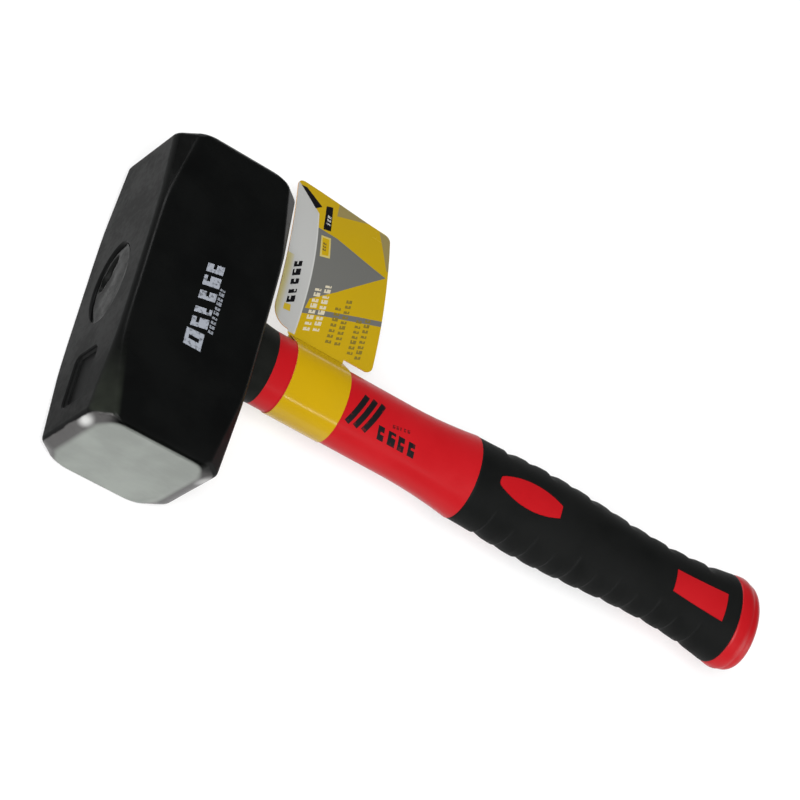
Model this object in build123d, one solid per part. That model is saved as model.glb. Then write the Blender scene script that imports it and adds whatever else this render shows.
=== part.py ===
from build123d import *
import math
import os

# Lump hammer lying on one cheek of its head. Millimetres.
# X runs from the eye along the handle to the butt, Y is the long axis of the head, Z is up.
# The origin is on the resting cheek, below the middle of the eye.

# head
head_length = 110.0
head_width = 47.0
head_height = 42.0
chamfer_start = 15.4
chamfer_width = 6.6
chamfer_height = 5.6
face_bevel_depth = 2.2
face_side_inset = 5.7
face_cheek_inset = 1.1
face_corner_width = 2.9
face_corner_height = 7.4
head_edge_radius = 2.0

# eye and marking pocket
eye_seat_side_film = 1.0
eye_seat_cheek_film = 1.1
eye_taper_width = 2.0
eye_taper_height = 0.4
pocket_length = 19.0
pocket_height = 13.7
pocket_centre_y = -35.0
pocket_depth = 1.6
pocket_draft = 25.0
pocket_corner_radius = 1.6

# handle jacket
neck_half_width = 13.5
neck_half_height = 10.0
neck_rebate = 0.9
flare_length = 28.3
flare_middle_length = 11.3
flare_middle_growth = 0.8
shaft_half_width = 12.2
shaft_half_height = 8.6

# core rod
core_half_width = 8.5
core_half_height = 6.0
core_clearance = 0.05
core_end_gap = 1.0

# resin in the eye
resin_recess = 2.4
resin_cover = 1.0
resin_clearance = 0.05

# grip
grip_start = 116.3
grip_end = 231.3
grip_height_ratio = 0.74
grip_front_half_width = 15.5
grip_belly_half_width = 16.6
grip_belly_distance = 31.2
grip_waist_half_width = 14.5
grip_waist_distance = 30.3
grip_rear_half_width = 17.6
grip_station_count = 13
grip_clearance = 0.05
shoulder_lip = 0.2

# scallops along both flanks of the grip
flute_count = 11
flute_front_margin = 12.0
flute_rear_margin = 12.5
flute_depth = 0.8
flute_roll_radius = 3.0
flute_long_angle = 34.0
flute_short_angle = 24.0
flute_overrun_angle = 12.0

# lands that show through the grip
land_recess = 0.15
land_clearance = 0.15
land_root_depth = 1.0
thumb_land_margin = 8.7
thumb_land_length = 26.0
thumb_land_width = 9.6
thumb_land_tip_width = 4.0
palm_land_margin = 6.3
palm_land_length = 22.0
palm_land_front_width = 8.6
palm_land_rear_width = 12.4

# neck guard
guard_length = 11.1
guard_root_growth = 2.1
guard_middle_growth = 0.7
guard_height_ratio = 0.75
guard_clearance = 0.05

# butt cap
cap_length = 10.2
cap_peak_growth = 0.5
cap_peak_offset = 3.6
cap_end_taper = 0.9
cap_edge_radius = 4.5
cap_spigot_length = 12.0

# label: leads and trails run along X from the band, rises go up or down from the handle axis
label_gap = 7.0
label_length = 21.2
label_thickness = 0.4
label_clearance = 0.05
flag_thickness = 0.6
flag_tab_length = 4.3
flag_front_length = 57.8
flag_rear_length = 55.4
flag_bottom_lead = 8.2
flag_top_lead = 10.6
flag_bottom_trail = 11.2
flag_top_trail = 7.4
flag_large_radius = 7.0
flag_small_radius = 2.5
flag_root_rise = -0.4
flag_crown_rise = 0.8
flag_tip_rise = -4.2

half_width = head_width / 2
half_length = head_length / 2
half_height = head_height / 2
resin_level = resin_recess - half_width
handle_tip = resin_level + resin_cover
guard_seat_half_width = neck_half_width - neck_rebate
guard_seat_half_height = neck_half_height - neck_rebate
eye_seat_half_width = guard_seat_half_width + eye_seat_side_film
eye_seat_half_height = guard_seat_half_height + eye_seat_cheek_film
guard_end = half_width + guard_length
label_start = guard_end + label_gap
label_end = label_start + label_length
flag_bottom = neck_half_width + flag_tab_length
core_end = grip_end - cap_spigot_length - core_end_gap
grip_belly_x = grip_start + grip_belly_distance
grip_waist_x = grip_end - grip_waist_distance
flute_pitch = (grip_end - grip_start - flute_front_margin - flute_rear_margin) / (flute_count - 1)


def oval(x, wide, high):
    """An oval section of the handle, square to its axis."""
    plane = Plane(origin=(x, 0, half_height), x_dir=(0, 1, 0), z_dir=(1, 0, 0))
    return plane * Ellipse(wide, high)


def oval_bar(start, end, wide, high):
    """A straight oval bar along the handle."""
    return extrude(oval(start, wide, high), end - start)


def oval_loft(stations):
    """A smooth oval body through (x, half width, half height) stations."""
    return loft([oval(*station) for station in stations])


def octagon_corners(y, wide, high, corner_width, corner_height):
    """The corners of an eight-sided section of the head at a distance y along it."""
    inner = wide - corner_width
    upper = high - corner_height
    return [(side_x * x, y, half_height + side_z * z)
            for x, z in ((inner, high), (wide, upper))
            for side_x in (-1, 1)
            for side_z in (-1, 1)]


def head_block():
    """The forged block: square in the middle, eight-sided towards its two faces."""
    corners = []
    for side in (-1, 1):
        corners += octagon_corners(side * chamfer_start, half_width, half_height, 0, 0)
        corners += octagon_corners(side * (half_length - face_bevel_depth), half_width, half_height,
                                   chamfer_width, chamfer_height)
        corners += octagon_corners(side * half_length, half_width - face_side_inset,
                                   half_height - face_cheek_inset, face_corner_width, face_corner_height)
    block = ConvexPolyhedron(list(dict.fromkeys(corners)))
    return fillet(block.edges(), head_edge_radius)


def eye_form(inset=0.0):
    """The tapered oval of the eye, wide at its mouth and close to the handle at the other side."""
    return oval_loft([
        (-half_width, eye_seat_half_width + eye_taper_width - inset,
         eye_seat_half_height + eye_taper_height - inset),
        (half_width, eye_seat_half_width - inset, eye_seat_half_height - inset),
    ])


def marking_pocket():
    """The sunk rectangle beside the eye."""
    plane = Plane(origin=(-half_width, pocket_centre_y, half_height), x_dir=(0, 1, 0), z_dir=(1, 0, 0))
    outline = RectangleRounded(pocket_length, pocket_height, pocket_corner_radius)
    return extrude(plane * outline, pocket_depth, taper=pocket_draft)


def head():
    return head_block() - eye_form() - marking_pocket()


def core_rod():
    return oval_bar(handle_tip, core_end, core_half_width, core_half_height)


def eye_resin():
    slab = Pos((resin_level + half_width) / 2, 0, half_height) * Box(
        half_width - resin_level, head_length, head_height)
    handle = oval_bar(handle_tip, guard_end, guard_seat_half_width + resin_clearance,
                      guard_seat_half_height + resin_clearance)
    return (eye_form(resin_clearance) & slab) - handle


def grip_half_width(x):
    """Half the width of the grip at x: a belly, a waist and a flare to the butt."""
    if x < grip_waist_x:
        near, start, end = grip_belly_half_width, grip_belly_x, grip_waist_x
        far = grip_waist_half_width
        if x < grip_belly_x:
            far, end = grip_belly_half_width, grip_belly_x
            near, start = grip_front_half_width, grip_start
        blend = (1 - math.cos(math.pi * (x - start) / (end - start))) / 2
        return near + (far - near) * blend
    rise = (x - grip_waist_x) / (grip_end - grip_waist_x)
    return grip_waist_half_width + (grip_rear_half_width - grip_waist_half_width) * rise ** 2


def grip_form(inset=0.0):
    """The smooth outside of the grip, or the same shape a little smaller."""
    step = (grip_end - grip_start) / (grip_station_count - 1)
    stations = []
    for index in range(grip_station_count):
        x = grip_start + index * step
        wide = grip_half_width(x) - inset
        stations.append((x, wide, grip_half_width(x) * grip_height_ratio - inset))
    return oval_loft(stations)


def thumb_outline(margin=0.0):
    """A long lens with a blunt rear tip, for the thumb."""
    middle = grip_start + thumb_land_margin + thumb_land_length / 2
    start = middle - thumb_land_length / 2 - margin
    end = middle + thumb_land_length / 2 + margin
    side = thumb_land_width / 2 + margin
    tip = thumb_land_tip_width / 2 + margin
    return make_face([
        ThreePointArc((start, 0), (middle, side), (end, tip)),
        Line((end, tip), (end, -tip)),
        ThreePointArc((end, -tip), (middle, -side), (start, 0)),
    ])


def palm_outline(margin=0.0):
    """A tapered plate that widens towards the butt, for the heel of the hand."""
    start = grip_end - palm_land_margin - palm_land_length - margin
    end = grip_end - palm_land_margin + margin
    front = palm_land_front_width / 2 + margin
    rear = palm_land_rear_width / 2 + margin
    return make_face(Polyline((start, front), (end, rear), (end, -rear), (start, -front), close=True))


def land_prisms(margin=0.0):
    """Both lands on both sides of the grip, as upright bars that start inside the shaft."""
    root = shaft_half_height - land_root_depth
    reach = grip_belly_half_width * 2
    bars = []
    for outline in (thumb_outline(margin), palm_outline(margin)):
        bars.append(Pos(0, 0, half_height + root) * extrude(outline, reach))
        bars.append(Pos(0, 0, half_height - root) * extrude(outline, -reach))
    return bars


def handle_jacket():
    seat = oval_bar(handle_tip, guard_end, guard_seat_half_width, guard_seat_half_height)
    flare_start = grip_start - flare_length
    neck = oval_bar(guard_end, flare_start, neck_half_width, neck_half_height)
    lip_half_width = grip_front_half_width + shoulder_lip
    flare = oval_loft([
        (flare_start, neck_half_width, neck_half_height),
        (grip_start - flare_middle_length, neck_half_width + flare_middle_growth,
         neck_half_height + flare_middle_growth * grip_height_ratio),
        (grip_start, lip_half_width, lip_half_width * grip_height_ratio),
    ])
    shaft = oval_bar(grip_start, grip_end, shaft_half_width, shaft_half_height)
    form = grip_form(land_recess)
    lands = [form & bar for bar in land_prisms()]
    body = seat + neck + flare + shaft + lands
    return body - oval_bar(handle_tip, grip_end, core_half_width + core_clearance,
                           core_half_height + core_clearance)


def neck_guard():
    root = neck_half_width + guard_root_growth
    middle = neck_half_width + guard_middle_growth
    outside = oval_loft([
        (half_width, root, root * guard_height_ratio),
        (half_width + guard_length / 2, middle, middle * guard_height_ratio),
        (guard_end, neck_half_width, neck_half_height),
    ])
    return outside - oval_bar(half_width, guard_end, guard_seat_half_width + guard_clearance,
                              guard_seat_half_height + guard_clearance)


def flute(x, side, tip_angle):
    """A scallop that follows the flank and dies out at the tip angle above and below."""
    wide = grip_half_width(x)
    angle = math.radians(tip_angle)
    rise = wide * grip_height_ratio * math.sin(angle)
    sag = wide * (1 - math.cos(angle)) - flute_depth
    bend = (rise ** 2 + sag ** 2) / (2 * sag)
    half_arc = math.degrees(math.asin(rise / bend)) + flute_overrun_angle
    roll_centre = bend + flute_roll_radius
    profile = Plane.XY * Pos(0, roll_centre) * Circle(flute_roll_radius)
    ring = revolve(Rot(-half_arc, 0, 0) * profile, Axis.X, 2 * half_arc)
    centre = wide - flute_depth - bend
    if side < 0:
        ring = Rot(180, 0, 0) * ring
    return Pos(x, side * centre, half_height) * ring


def grip_sleeve():
    body = grip_form() - oval_bar(grip_start, grip_end, shaft_half_width + grip_clearance,
                                  shaft_half_height + grip_clearance)
    cuts = land_prisms(land_clearance)
    for index in range(flute_count):
        x = grip_start + flute_front_margin + index * flute_pitch
        tip_angle = flute_long_angle if index % 2 == 0 else flute_short_angle
        cuts += [flute(x, side, tip_angle) for side in (-1, 1)]
    return body - cuts


def butt_cap():
    peak = grip_rear_half_width + cap_peak_growth
    rear = peak - cap_end_taper
    knob = oval_loft([
        (grip_end, grip_rear_half_width, grip_rear_half_width * grip_height_ratio),
        (grip_end + cap_peak_offset, peak, peak * grip_height_ratio),
        (grip_end + cap_length, rear, rear * grip_height_ratio),
    ])
    rim = knob.faces().sort_by(Axis.X)[-1].edges()
    spigot = oval_bar(grip_end - cap_spigot_length, grip_end, core_half_width, core_half_height)
    return fillet(rim, cap_edge_radius) + spigot


def flag_outline():
    """The flag seen from above, with a large radius at its lower front corner."""
    low_front = (label_start - flag_bottom_lead, flag_bottom)
    outline = make_face(Polyline(low_front, (label_end + flag_bottom_trail, flag_bottom),
                                 (label_end + flag_top_trail, flag_bottom + flag_rear_length),
                                 (label_start - flag_top_lead, flag_bottom + flag_front_length),
                                 close=True))
    corners = outline.vertices().sort_by_distance(low_front)
    outline = fillet(corners[1:], flag_small_radius)
    outline = fillet(outline.vertices().sort_by_distance(low_front)[0], flag_large_radius)
    return outline + flag_tab()


def flag_tab():
    """The part of the flag that joins it to the band."""
    overlap = flag_bottom + flag_large_radius
    return make_face(Polyline((label_start, neck_half_width), (label_end, neck_half_width),
                              (label_end, overlap), (label_start, overlap), close=True))


def flag_sheet():
    """A thin sheet that leaves the side of the neck and droops towards its far edge."""
    root = neck_half_width
    end = flag_bottom + flag_front_length
    upper = [(root, half_height + flag_root_rise), ((root + end) / 2, half_height + flag_crown_rise),
             (end, half_height + flag_tip_rise)]
    lower = [(y, z - flag_thickness) for y, z in reversed(upper)]
    profile = make_face([ThreePointArc(*upper), Line(upper[-1], lower[0]),
                         ThreePointArc(*lower), Line(lower[-1], upper[0])])
    plane = Plane(origin=(0, 0, 0), x_dir=(0, 1, 0), z_dir=(1, 0, 0))
    return extrude(plane * profile, label_end + flag_bottom_trail)


def flag_label():
    inner = label_clearance
    outer = label_clearance + label_thickness
    hole = oval_bar(label_start, label_end, neck_half_width + inner, neck_half_height + inner)
    band = oval_bar(label_start, label_end, neck_half_width + outer, neck_half_height + outer) - hole
    flag = flag_sheet() & extrude(flag_outline(), head_height)
    return band + (flag - hole)


sub_parts = [head, core_rod, eye_resin, handle_jacket, neck_guard, grip_sleeve, butt_cap, flag_label]

os.makedirs("parts", exist_ok=True)
for sub_part in sub_parts:
    export_step(sub_part(), f"parts/{sub_part.__name__}.step")
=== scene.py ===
import math
import bpy
import bmesh
from mathutils import Matrix, Vector


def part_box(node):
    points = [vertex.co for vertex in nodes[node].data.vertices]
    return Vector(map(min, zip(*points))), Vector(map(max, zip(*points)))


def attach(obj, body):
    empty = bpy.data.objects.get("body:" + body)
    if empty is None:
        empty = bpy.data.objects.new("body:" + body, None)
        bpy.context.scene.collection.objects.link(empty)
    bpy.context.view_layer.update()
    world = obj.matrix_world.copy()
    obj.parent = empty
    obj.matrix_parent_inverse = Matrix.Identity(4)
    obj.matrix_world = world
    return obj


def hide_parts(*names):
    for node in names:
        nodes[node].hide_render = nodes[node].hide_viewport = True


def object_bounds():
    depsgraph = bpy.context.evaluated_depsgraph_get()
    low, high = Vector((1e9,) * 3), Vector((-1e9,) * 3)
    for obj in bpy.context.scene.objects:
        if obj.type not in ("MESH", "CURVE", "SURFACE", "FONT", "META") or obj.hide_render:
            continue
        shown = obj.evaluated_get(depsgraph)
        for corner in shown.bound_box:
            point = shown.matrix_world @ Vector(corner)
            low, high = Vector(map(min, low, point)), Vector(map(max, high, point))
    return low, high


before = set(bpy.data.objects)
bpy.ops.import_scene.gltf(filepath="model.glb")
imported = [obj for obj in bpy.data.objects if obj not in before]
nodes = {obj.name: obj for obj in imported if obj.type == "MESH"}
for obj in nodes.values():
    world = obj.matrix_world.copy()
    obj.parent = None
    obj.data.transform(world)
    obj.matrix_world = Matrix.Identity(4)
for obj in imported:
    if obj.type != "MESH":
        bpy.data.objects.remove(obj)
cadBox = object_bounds()
mm = 0.001
headLow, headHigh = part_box("head")
gripLow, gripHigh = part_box("grip_sleeve")
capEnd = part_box("butt_cap")[1].x
axisZ = (headLow.z + headHigh.z) / 2     # the handle's centre line
eyeSideX = headLow.x                     # the side that shows the eye
faceY = headHigh.y                       # both striking faces stand this far from the middle
print("frame loaded")


def plug(tree, socket, value):
    if isinstance(value, bpy.types.NodeSocket):
        tree.links.new(value, socket)
    else:
        socket.default_value = value


def addNode(tree, kind, inputs=None, **settings):
    node = tree.nodes.new(kind)
    for name, value in settings.items():
        setattr(node, name, value)
    for name, value in (inputs or {}).items():
        plug(tree, node.inputs[name], value)
    return node


def calc(tree, operation, *values, clamp=False):
    node = addNode(tree, "ShaderNodeMath", operation=operation, use_clamp=clamp)
    for socket, value in zip(node.inputs, values):
        plug(tree, socket, value)
    return node.outputs[0]


def ramp(tree, value, low, high, start=0.0, end=1.0, smooth=True):
    kind = "SMOOTHSTEP" if smooth else "LINEAR"
    node = addNode(tree, "ShaderNodeMapRange", interpolation_type=kind)
    for socket, number in zip(node.inputs, (value, low, high, start, end)):
        plug(tree, socket, number)
    return node.outputs[0]


def fold(tree, operation, *values):
    # one operation along a row of values
    whole = values[0]
    for value in values[1:]:
        whole = calc(tree, operation, whole, value)
    return whole


def noise(tree, point, scale, detail=2.0, roughness=0.5):
    node = addNode(tree, "ShaderNodeTexNoise", {"Vector": point, "Scale": scale, "Detail": detail,
                                                "Roughness": roughness})
    return node.outputs["Fac"]


def blendColour(tree, factor, under, over, mode="MIX"):
    node = addNode(tree, "ShaderNodeMix", data_type="RGBA", blend_type=mode)
    colours = [socket for socket in node.inputs if socket.type == "RGBA"]
    plug(tree, node.inputs[0], factor)
    plug(tree, colours[0], under)
    plug(tree, colours[1], over)
    return [socket for socket in node.outputs if socket.type == "RGBA"][0]


def shadeColour(tree, colour, level):
    grey = addNode(tree, "ShaderNodeCombineXYZ", {0: level, 1: level, 2: level}).outputs[0]
    return blendColour(tree, 1.0, colour, grey, "MULTIPLY")


def blendValue(tree, factor, under, over):
    node = addNode(tree, "ShaderNodeMix", data_type="FLOAT")
    plug(tree, node.inputs[0], factor)
    plug(tree, node.inputs[2], under)
    plug(tree, node.inputs[3], over)
    return node.outputs[0]


def objectPoint(tree):
    return addNode(tree, "ShaderNodeTexCoord").outputs["Object"]


def splitPoint(tree, point):
    node = addNode(tree, "ShaderNodeSeparateXYZ", {0: point})
    return node.outputs[0], node.outputs[1], node.outputs[2]


def insideBand(tree, value, low, high, soft):
    rise = ramp(tree, value, low - soft, low + soft)
    fall = ramp(tree, value, high - soft, high + soft, 1.0, 0.0)
    return calc(tree, "MULTIPLY", rise, fall)


def insidePolygon(tree, x, y, corners, soft):
    # a convex outline, its corners given anticlockwise
    depth = None
    for index, (ax, ay) in enumerate(corners):
        bx, by = corners[(index + 1) % len(corners)]
        length = math.hypot(bx - ax, by - ay)
        nx, ny = (ay - by) / length, (bx - ax) / length
        along = calc(tree, "MULTIPLY_ADD", x, nx, -(ax * nx + ay * ny))
        side = calc(tree, "MULTIPLY_ADD", y, ny, along)
        depth = side if depth is None else calc(tree, "MINIMUM", depth, side)
    return ramp(tree, depth, -soft, soft)


def newMaterial(name, colour, roughness, **constants):
    material = bpy.data.materials.new(name)
    material.use_nodes = True
    tree = material.node_tree
    tree.nodes.clear()
    shader = addNode(tree, "ShaderNodeBsdfPrincipled", {"Base Color": colour, "Roughness": roughness})
    for name, value in constants.items():
        shader.inputs[name.replace("_", " ")].default_value = value
    output = addNode(tree, "ShaderNodeOutputMaterial")
    tree.links.new(shader.outputs[0], output.inputs[0])
    material.diffuse_color = colour
    return material, tree, shader


def bump(tree, shader, height, strength, distance):
    node = addNode(tree, "ShaderNodeBump", {"Height": height, "Strength": strength, "Distance": distance})
    tree.links.new(node.outputs[0], shader.inputs["Normal"])


def meshPiece(name, points, faces, materials, smooth=True):
    mesh = bpy.data.meshes.new(name)
    mesh.from_pydata([tuple(p) for p in points], [], faces)
    mesh.validate()
    work = bmesh.new()
    work.from_mesh(mesh)
    bmesh.ops.recalc_face_normals(work, faces=work.faces)
    work.to_mesh(mesh)
    work.free()
    mesh.polygons.foreach_set("use_smooth", [smooth] * len(mesh.polygons))
    piece = bpy.data.objects.new(name, mesh)
    bpy.context.scene.collection.objects.link(piece)
    for material in materials:
        mesh.materials.append(material)
    return piece


def loft(rings):
    # rings of equal length become one closed skin
    count = len(rings[0])
    points = [p for ring in rings for p in ring]
    faces = []
    for r in range(len(rings) - 1):
        a, b = r * count, (r + 1) * count
        for i in range(count):
            j = (i + 1) % count
            faces.append((a + i, a + j, b + j, b + i))
    faces.append(tuple(range(count)))
    faces.append(tuple(range(len(points) - count, len(points))))
    return points, faces


def cutWith(piece, tools, operation="DIFFERENCE"):
    for tool in tools:
        modifier = piece.modifiers.new("cut", "BOOLEAN")
        modifier.operation = operation
        modifier.solver = "EXACT"
        modifier.object = tool
    bakeDown(piece)
    for tool in tools:
        bpy.data.objects.remove(tool)


sliverWidth = 0.03 * mm
sliverArea = 0.002 * mm * mm


def dropSlivers(mesh):
    # needle faces left by the cuts close up when their corners are merged
    work = bmesh.new()
    work.from_mesh(mesh)
    bmesh.ops.remove_doubles(work, verts=work.verts[:], dist=sliverWidth)
    bmesh.ops.dissolve_degenerate(work, edges=work.edges[:], dist=sliverWidth / 10)
    doubled = [edge for edge in work.edges if len(edge.link_faces) > 2]
    scraps = {face for edge in doubled for face in edge.link_faces if face.calc_area() < sliverArea}
    bmesh.ops.delete(work, geom=list(scraps), context="FACES")
    work.to_mesh(mesh)
    work.free()


def bakeDown(piece):
    # the evaluated shape becomes the piece's own plain mesh
    bpy.context.view_layer.update()
    graph = bpy.context.evaluated_depsgraph_get()
    mesh = bpy.data.meshes.new_from_object(piece.evaluated_get(graph), preserve_all_data_layers=True,
                                           depsgraph=graph)
    piece.modifiers.clear()
    old = piece.data
    piece.data = mesh
    mesh.name = piece.name
    bpy.data.meshes.remove(old)


def coverWith(piece, material):
    mesh = piece.data
    mesh.materials.clear()
    mesh.materials.append(material)
    mesh.polygons.foreach_set("material_index", [0] * len(mesh.polygons))


def evenShading(piece, angle):
    # flat stretches stay flat and small rounds stay soft
    piece.data.polygons.foreach_set("use_smooth", [True] * len(piece.data.polygons))
    piece.data.set_sharp_from_angle(angle=math.radians(angle))
    modifier = piece.modifiers.new("even", "WEIGHTED_NORMAL")
    modifier.keep_sharp = True
    modifier.weight = 80


def arcPoints(centre, radius, start, end, steps):
    out = []
    for i in range(steps + 1):
        angle = math.radians(start + (end - start) * i / steps)
        out.append((centre[0] + radius * math.cos(angle), centre[1] + radius * math.sin(angle)))
    return out


def newGroup(name, inputs, outputs):
    tree = bpy.data.node_groups.new(name, "ShaderNodeTree")
    for label, kind, value in inputs:
        socket = tree.interface.new_socket(name=label, in_out="INPUT", socket_type=kind)
        if value is not None:
            socket.default_value = value
    for label, kind in outputs:
        tree.interface.new_socket(name=label, in_out="OUTPUT", socket_type=kind)
    return tree, tree.nodes.new("NodeGroupInput"), tree.nodes.new("NodeGroupOutput")


def makeMouldGrain():
    # the fine skin of moulded plastic and rubber: a height, a slow shade and a gloss change
    tree, start, end = newGroup("mouldGrain", [
        ("Point", "NodeSocketVector", None), ("Grain", "NodeSocketFloat", 3000.0),
        ("Patch", "NodeSocketFloat", 60.0)],
        [("Height", "NodeSocketFloat"), ("Shade", "NodeSocketFloat"), ("Gloss", "NodeSocketFloat")])
    fine = noise(tree, start.outputs["Point"], start.outputs["Grain"], 3.0, 0.6)
    patch = noise(tree, start.outputs["Point"], start.outputs["Patch"], 4.0, 0.55)
    mixed = calc(tree, "MULTIPLY_ADD", fine, 0.35, calc(tree, "MULTIPLY", patch, 0.65))
    tree.links.new(fine, end.inputs["Height"])
    tree.links.new(ramp(tree, patch, 0.3, 0.7), end.inputs["Shade"])
    tree.links.new(ramp(tree, mixed, 0.35, 0.65), end.inputs["Gloss"])
    return tree


def makeHandling():
    # hairline rubs in two directions, from shelves and hands
    tree, start, end = newGroup("handling", [
        ("Point", "NodeSocketVector", None), ("Scale", "NodeSocketFloat", 90.0),
        ("Amount", "NodeSocketFloat", 0.5)], [("Mask", "NodeSocketFloat")])
    lines = []
    for turn, stretch in ((0.35, (1.0, 14.0, 1.0)), (-0.9, (12.0, 1.0, 3.0))):
        place = addNode(tree, "ShaderNodeMapping", {"Vector": start.outputs["Point"],
                        "Rotation": (0.2, 0.1, turn), "Scale": stretch})
        lines.append(ramp(tree, noise(tree, place.outputs[0], start.outputs["Scale"], 5.0, 0.7), 0.6, 0.72))
    spread = ramp(tree, noise(tree, start.outputs["Point"], 35.0), 0.4, 0.65)
    both = fold(tree, "MULTIPLY", calc(tree, "MAXIMUM", *lines), spread, start.outputs["Amount"])
    tree.links.new(both, end.inputs["Mask"])
    return tree


def makePrintedRow():
    # a row of plain blocks of uneven width, as a stand-in for a printed line
    tree, start, end = newGroup("printedRow", [
        ("Along", "NodeSocketFloat", 0.0), ("Across", "NodeSocketFloat", 0.0),
        ("Blocks", "NodeSocketFloat", 8.0), ("Slant", "NodeSocketFloat", 0.0),
        ("Seed", "NodeSocketFloat", 0.0)], [("Mask", "NodeSocketFloat")])
    along, across = start.outputs["Along"], start.outputs["Across"]
    leaning = calc(tree, "MULTIPLY_ADD", across, start.outputs["Slant"], along)
    count = calc(tree, "MULTIPLY", leaning, start.outputs["Blocks"])
    place = calc(tree, "FRACT", count)
    seed = calc(tree, "ADD", calc(tree, "FLOOR", count), start.outputs["Seed"])
    pick = addNode(tree, "ShaderNodeTexWhiteNoise", {"W": seed}, noise_dimensions="1D").outputs["Value"]
    width = ramp(tree, pick, 0.0, 1.0, 0.5, 0.84, smooth=False)
    block = calc(tree, "MULTIPLY", calc(tree, "GREATER_THAN", place, 0.08),
                 calc(tree, "LESS_THAN", place, width))
    # a slit from one side of each block
    level = calc(tree, "SUBTRACT", across, calc(tree, "MULTIPLY_ADD", pick, 0.5, 0.25))
    slit = calc(tree, "LESS_THAN", calc(tree, "ABSOLUTE", level), 0.09)
    half = calc(tree, "GREATER_THAN", place, calc(tree, "MULTIPLY", width, 0.5))
    block = calc(tree, "SUBTRACT", block, calc(tree, "MULTIPLY", slit, half), clamp=True)
    for value in (across, leaning):
        inside = calc(tree, "MULTIPLY", calc(tree, "GREATER_THAN", value, 0.0),
                      calc(tree, "LESS_THAN", value, 1.0))
        block = calc(tree, "MULTIPLY", block, inside)
    tree.links.new(block, end.inputs["Mask"])
    return tree


mouldGrain = makeMouldGrain()
handling = makeHandling()
printedRow = makePrintedRow()


def useGroup(tree, group, **inputs):
    node = addNode(tree, "ShaderNodeGroup", node_tree=group)
    for name, value in inputs.items():
        plug(tree, node.inputs[name], value)
    return node


def rowMask(tree, x, y, corner, along, across, blocks, slant=0.0, seed=0.0):
    # along and across are the printed row's two sides, as vectors from its corner
    def share(side):
        size = side[0] ** 2 + side[1] ** 2
        part = calc(tree, "MULTIPLY_ADD", x, side[0] / size,
                    -(corner[0] * side[0] + corner[1] * side[1]) / size)
        return calc(tree, "MULTIPLY_ADD", y, side[1] / size, part)

    return useGroup(tree, printedRow, Along=share(along), Across=share(across), Blocks=blocks,
                    Slant=slant, Seed=seed).outputs["Mask"]


print("shared effects made")


headForm = {
    "chamferStart": 15.4 * mm,     # the long edges are square up to here
    "chamferWide": 6.6 * mm,
    "chamferHigh": 5.6 * mm,
    "bevelDepth": 2.2 * mm,
    "sideInset": 5.7 * mm,
    "cheekInset": 1.1 * mm,
    "cornerWide": 2.9 * mm,
    "cornerHigh": 7.4 * mm,
    "edgeRadius": 2.8 * mm,
    "endRadius": 3.9 * mm,
    "faceRadius": 5.6 * mm,
    "arcSteps": 6,
    "turnStart": 1.6 * mm,         # the soft turn onto the bevel starts this far before it
    "turnEnd": 0.45,               # and ends at this share of it
    "faceTurn": 0.4,               # the share of the bevel that rolls over onto the face
}


def headRing(y, wide, high, cutWide, cutHigh, lean, radius):
    # an eight-sided section with every corner rounded
    saved = cutWide + cutHigh - math.hypot(cutWide, cutHigh)
    innerWide = max(0.0, cutWide - radius * saved / max(cutHigh, 1e-9))
    innerHigh = max(0.0, cutHigh - radius * saved / max(cutWide, 1e-9))
    if min(innerWide, innerHigh) == 0.0:
        innerWide = innerHigh = 0.0
    steps = headForm["arcSteps"]
    quarter = arcPoints((wide - radius, high - radius - innerHigh), radius, 0, lean, steps)
    quarter += arcPoints((wide - radius - innerWide, high - radius), radius, lean, 90, steps)
    mirrored = [(-x, z) for x, z in reversed(quarter)]
    upper = quarter + mirrored
    lower = [(x, -z) for x, z in reversed(upper)]
    return [(x, y, axisZ + z) for x, z in upper + lower]


def headStations():
    # (distance from the middle, chamfer share, inset share), from the middle to the face
    form = headForm
    bevelStart = faceY - form["bevelDepth"]
    run = bevelStart - form["chamferStart"]
    stations = [(form["chamferStart"] * share, 0.0, 0.0) for share in (0.0, 0.5, 1.0)]
    for share in (0.1, 0.2, 0.35, 0.5, 0.65, 0.8, 0.9):
        stations.append((form["chamferStart"] + run * share, share, 0.0))
    for step in range(7):
        t = step / 6
        y = bevelStart - form["turnStart"] * (1 - t) ** 2 + form["bevelDepth"] * form["turnEnd"] * t ** 2
        stations.append((y, min(1.0, (y - form["chamferStart"]) / run), form["turnEnd"] * t ** 2))
    for step in range(7):
        t = step / 6
        y = faceY - form["bevelDepth"] * form["faceTurn"] * (1 - t) ** 2
        stations.append((y, 1.0, 1.0 - form["faceTurn"] * (1 - t) ** 2 + 0.35 * t ** 2))
    return stations


def headSection(y, chamferShare, insetShare):
    form = headForm
    halfWide, halfHigh = (headHigh.x - headLow.x) / 2, axisZ - headLow.z
    mix = min(insetShare, 1.0)

    def mixed(body, face):
        return body * (1 - mix) + face * mix

    leanBody = math.degrees(math.atan2(form["chamferWide"], form["chamferHigh"]))
    leanFace = math.degrees(math.atan2(form["cornerWide"], form["cornerHigh"]))
    bodyRadius = form["edgeRadius"] * (1 - chamferShare) + form["endRadius"] * chamferShare
    return headRing(y, halfWide - form["sideInset"] * insetShare, halfHigh - form["cheekInset"] * insetShare,
                    mixed(form["chamferWide"] * chamferShare, form["cornerWide"]),
                    mixed(form["chamferHigh"] * chamferShare, form["cornerHigh"]),
                    mixed(leanBody, leanFace), mixed(bodyRadius, form["faceRadius"]))


def ovalRing(x, wide, high, count=72):
    turn = 2 * math.pi / count
    return [(x, wide * math.cos(turn * i), axisZ + high * math.sin(turn * i)) for i in range(count)]


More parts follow.
